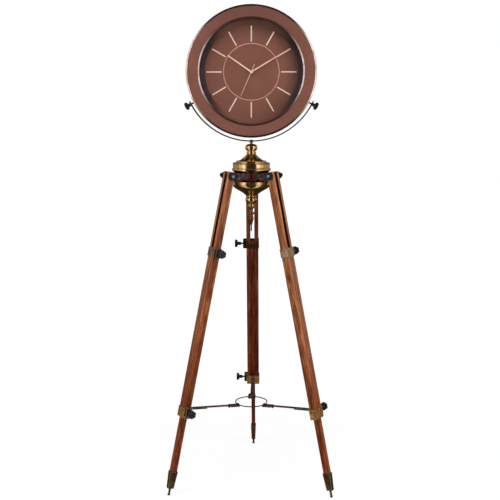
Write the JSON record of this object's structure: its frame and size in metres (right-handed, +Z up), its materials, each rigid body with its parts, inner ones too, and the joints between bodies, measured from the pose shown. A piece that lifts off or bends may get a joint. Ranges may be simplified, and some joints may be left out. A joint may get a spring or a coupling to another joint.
{
  "type": "floor clock",
  "caption": "Round clock tilting in a brass fork on a folding wooden tripod with extending legs and a ring spreader.",
  "frame": {"origin": "middle of the bounding box, on the floor that the three spikes stand on", "axes": "+Z up, the dial faces -Y, +X to the viewer's right; the tripod's axis is parallel to Z"},
  "size_m": [0.5332, 0.4818, 1.5345],
  "materials": {
    "wood": "stained and lacquered, satin",
    "polished_brass": "polished, slightly antiqued",
    "cast_brass": "cast, satin antique",
    "dark_bronze": "bronzed casting, semi-gloss",
    "dark_steel": "blackened steel, satin",
    "case_paint": "copper-brown satin paint",
    "gold_trim": "bright polished trim",
    "hand_metal": "pink gold, satin",
    "black_knob": "black moulded, semi-gloss",
    "black_lid": "black satin paint",
    "black_movement": "black moulded, matte",
    "cell_can": "printed-free metal sleeve, satin",
    "clear_glass": "clear float glass"
  },
  "bodies": {
    "head": {"head_cap": "polished_brass", "drum": "polished_brass", "leg_plate": "dark_bronze", "lower_bowl": "polished_brass", "pendant": "polished_brass", "tie_rod": "dark_steel"},
    "fork": {"fork": "polished_brass", "fork_screw": "dark_steel", "swivel_stem": "polished_brass"},
    "thumbscrew_left": {"thumbscrew_left": "black_knob"},
    "thumbscrew_right": {"thumbscrew_right": "black_knob"},
    "clock": {"case": "case_paint", "edge_ring": "gold_trim", "bezel": "gold_trim", "glass": "clear_glass", "dial": "case_paint", "movement": "black_movement", "battery": "cell_can", "back_cover": "black_lid"},
    "hour_hand": {"hour_hand": "hand_metal"},
    "minute_hand": {"minute_hand": "hand_metal"},
    "second_hand": {"second_hand": "hand_metal"},
    "setting_knob": {"setting_knob": "black_knob"},
    "spreader_ring": {"spreader_ring": "dark_steel"},
    "leg_back": {"slat_a_back": "wood", "slat_b_back": "wood", "lower_collar_back": "cast_brass", "hinge_bolt_back": "dark_steel"},
    "inner_leg_back": {"inner_leg_back": "wood", "upper_collar_back": "dark_bronze", "ferrule_back": "cast_brass", "spike_back": "dark_steel"},
    "wing_nut_back": {"wing_nut_back": "black_knob"},
    "upper_knob_back": {"upper_knob_back": "black_knob"},
    "lower_knob_back": {"lower_knob_back": "black_knob"},
    "spreader_arm_back": {"spreader_arm_back": "dark_steel"},
    "leg_front_left": {"slat_a_front_left": "wood", "slat_b_front_left": "wood", "lower_collar_front_left": "cast_brass", "hinge_bolt_front_left": "dark_steel"},
    "inner_leg_front_left": {"inner_leg_front_left": "wood", "upper_collar_front_left": "dark_bronze", "ferrule_front_left": "cast_brass", "spike_front_left": "dark_steel"},
    "wing_nut_front_left": {"wing_nut_front_left": "black_knob"},
    "upper_knob_front_left": {"upper_knob_front_left": "black_knob"},
    "lower_knob_front_left": {"lower_knob_front_left": "black_knob"},
    "spreader_arm_front_left": {"spreader_arm_front_left": "dark_steel"},
    "leg_front_right": {"slat_a_front_right": "wood", "slat_b_front_right": "wood", "lower_collar_front_right": "cast_brass", "hinge_bolt_front_right": "dark_steel"},
    "inner_leg_front_right": {"inner_leg_front_right": "wood", "upper_collar_front_right": "dark_bronze", "ferrule_front_right": "cast_brass", "spike_front_right": "dark_steel"},
    "wing_nut_front_right": {"wing_nut_front_right": "black_knob"},
    "upper_knob_front_right": {"upper_knob_front_right": "black_knob"},
    "lower_knob_front_right": {"lower_knob_front_right": "black_knob"},
    "spreader_arm_front_right": {"spreader_arm_front_right": "dark_steel"}
  },
  "joints": [
    {"name": "head_swivel", "type": "hinge", "parent": "head", "child": "fork", "pos_m": [0, -0.06372, 1.07637], "axis": [0, 0, 1], "continuous": true},
    {"name": "clock_tilt", "type": "hinge", "parent": "fork", "child": "clock", "pos_m": [0, -0.06372, 1.23846], "axis": [1, 0, 0], "range_deg": [-15, 15]},
    {"name": "thumbscrew_left_turn", "type": "hinge", "parent": "fork", "child": "thumbscrew_left", "pos_m": [-0.17829, -0.06372, 1.23846], "axis": [-0.887, 0, -0.4617], "range_deg": [0, 360]},
    {"name": "thumbscrew_right_turn", "type": "hinge", "parent": "fork", "child": "thumbscrew_right", "pos_m": [0.17829, -0.06372, 1.23846], "axis": [0.887, 0, -0.4617], "range_deg": [0, 360]},
    {"name": "second_hand_turn", "type": "hinge", "parent": "clock", "child": "second_hand", "pos_m": [0, -0.06372, 1.33127], "axis": [0, 1, 0], "continuous": true},
    {"name": "minute_hand_turn", "type": "hinge", "parent": "clock", "child": "minute_hand", "pos_m": [0, -0.06372, 1.33127], "axis": [0, 1, 0], "continuous": true},
    {"name": "hour_hand_turn", "type": "hinge", "parent": "clock", "child": "hour_hand", "pos_m": [0, -0.06372, 1.33127], "axis": [0, 1, 0], "continuous": true},
    {"name": "setting_knob_turn", "type": "hinge", "parent": "clock", "child": "setting_knob", "pos_m": [0, -0.06372, 1.33127], "axis": [0, 1, 0], "continuous": true},
    {"name": "leg_fold_back", "type": "hinge", "parent": "head", "child": "leg_back", "pos_m": [0, 0.01632, 1.01007], "axis": [-1, 0, 0], "range_deg": [0, 12.25]},
    {"name": "leg_slide_back", "type": "slide", "parent": "leg_back", "child": "inner_leg_back", "axis": [0, 0.2122, -0.9772], "range_m": [-0.16, 0.42]},
    {"name": "wing_nut_turn_back", "type": "hinge", "parent": "leg_back", "child": "wing_nut_back", "pos_m": [0.02535, 0.01632, 1.01007], "axis": [1, 0, 0], "range_deg": [0, 360]},
    {"name": "upper_knob_turn_back", "type": "hinge", "parent": "inner_leg_back", "child": "upper_knob_back", "pos_m": [-0.02015, 0.06807, 0.77172], "axis": [-1, 0, 0], "range_deg": [0, 360]},
    {"name": "lower_knob_turn_back", "type": "hinge", "parent": "leg_back", "child": "lower_knob_back", "pos_m": [-0.02015, 0.1763, 0.27323], "axis": [-1, 0, 0], "range_deg": [0, 360]},
    {"name": "arm_swing_back", "type": "hinge", "parent": "leg_back", "child": "spreader_arm_back", "pos_m": [0, 0.15633, 0.27565], "axis": [1, 0, 0], "range_deg": [0, 94.19]},
    {"name": "leg_fold_front_left", "type": "hinge", "parent": "head", "child": "leg_front_left", "pos_m": [-0.06931, -0.10373, 1.01007], "axis": [0.5, -0.866, 0], "range_deg": [0, 12.25]},
    {"name": "leg_slide_front_left", "type": "slide", "parent": "leg_front_left", "child": "inner_leg_front_left", "axis": [-0.1838, -0.1061, -0.9772], "range_m": [-0.16, 0.42]},
    {"name": "wing_nut_turn_front_left", "type": "hinge", "parent": "leg_front_left", "child": "wing_nut_front_left", "pos_m": [-0.08199, -0.08178, 1.01007], "axis": [-0.5, 0.866, 0], "range_deg": [0, 360]},
    {"name": "upper_knob_turn_front_left", "type": "hinge", "parent": "inner_leg_front_left", "child": "upper_knob_front_left", "pos_m": [-0.10405, -0.14706, 0.77172], "axis": [0.5, -0.866, 0], "range_deg": [0, 360]},
    {"name": "lower_knob_turn_front_left", "type": "hinge", "parent": "leg_front_left", "child": "lower_knob_front_left", "pos_m": [-0.19778, -0.20117, 0.27323], "axis": [0.5, -0.866, 0], "range_deg": [0, 360]},
    {"name": "arm_swing_front_left", "type": "hinge", "parent": "leg_front_left", "child": "spreader_arm_front_left", "pos_m": [-0.19057, -0.17374, 0.27565], "axis": [-0.5, 0.866, 0], "range_deg": [0, 94.19]},
    {"name": "leg_fold_front_right", "type": "hinge", "parent": "head", "child": "leg_front_right", "pos_m": [0.06931, -0.10373, 1.01007], "axis": [0.5, 0.866, 0], "range_deg": [0, 12.25]},
    {"name": "leg_slide_front_right", "type": "slide", "parent": "leg_front_right", "child": "inner_leg_front_right", "axis": [0.1838, -0.1061, -0.9772], "range_m": [-0.16, 0.42]},
    {"name": "wing_nut_turn_front_right", "type": "hinge", "parent": "leg_front_right", "child": "wing_nut_front_right", "pos_m": [0.08199, -0.08178, 1.01007], "axis": [0.5, 0.866, 0], "range_deg": [0, 360]},
    {"name": "upper_knob_turn_front_right", "type": "hinge", "parent": "inner_leg_front_right", "child": "upper_knob_front_right", "pos_m": [0.1242, -0.11216, 0.77172], "axis": [0.5, 0.866, 0], "range_deg": [0, 360]},
    {"name": "lower_knob_turn_front_right", "type": "hinge", "parent": "leg_front_right", "child": "lower_knob_front_right", "pos_m": [0.21793, -0.16627, 0.27323], "axis": [0.5, 0.866, 0], "range_deg": [0, 360]},
    {"name": "arm_swing_front_right", "type": "hinge", "parent": "leg_front_right", "child": "spreader_arm_front_right", "pos_m": [0.19057, -0.17374, 0.27565], "axis": [-0.5, -0.866, 0], "range_deg": [0, 94.19]},
    {"name": "ring_drop", "type": "slide", "parent": "head", "child": "spreader_ring", "axis": [0, 0, -1], "range_m": [0, 0.127]}
  ],
  "couplings": [
    {"joint": "minute_hand_turn", "follows": "second_hand_turn", "ratio": 0.016667},
    {"joint": "hour_hand_turn", "follows": "second_hand_turn", "ratio": 0.0013889},
    {"joint": "setting_knob_turn", "follows": "second_hand_turn", "ratio": 0.016667},
    {"joint": "arm_swing_back", "follows": "leg_fold_back", "ratio": 7.689},
    {"joint": "leg_fold_front_left", "follows": "leg_fold_back", "ratio": 1},
    {"joint": "arm_swing_front_left", "follows": "leg_fold_back", "ratio": 7.689},
    {"joint": "leg_fold_front_right", "follows": "leg_fold_back", "ratio": 1},
    {"joint": "arm_swing_front_right", "follows": "leg_fold_back", "ratio": 7.689},
    {"joint": "ring_drop", "follows": "leg_fold_back", "m_per_rad": 0.59401}
  ]
}
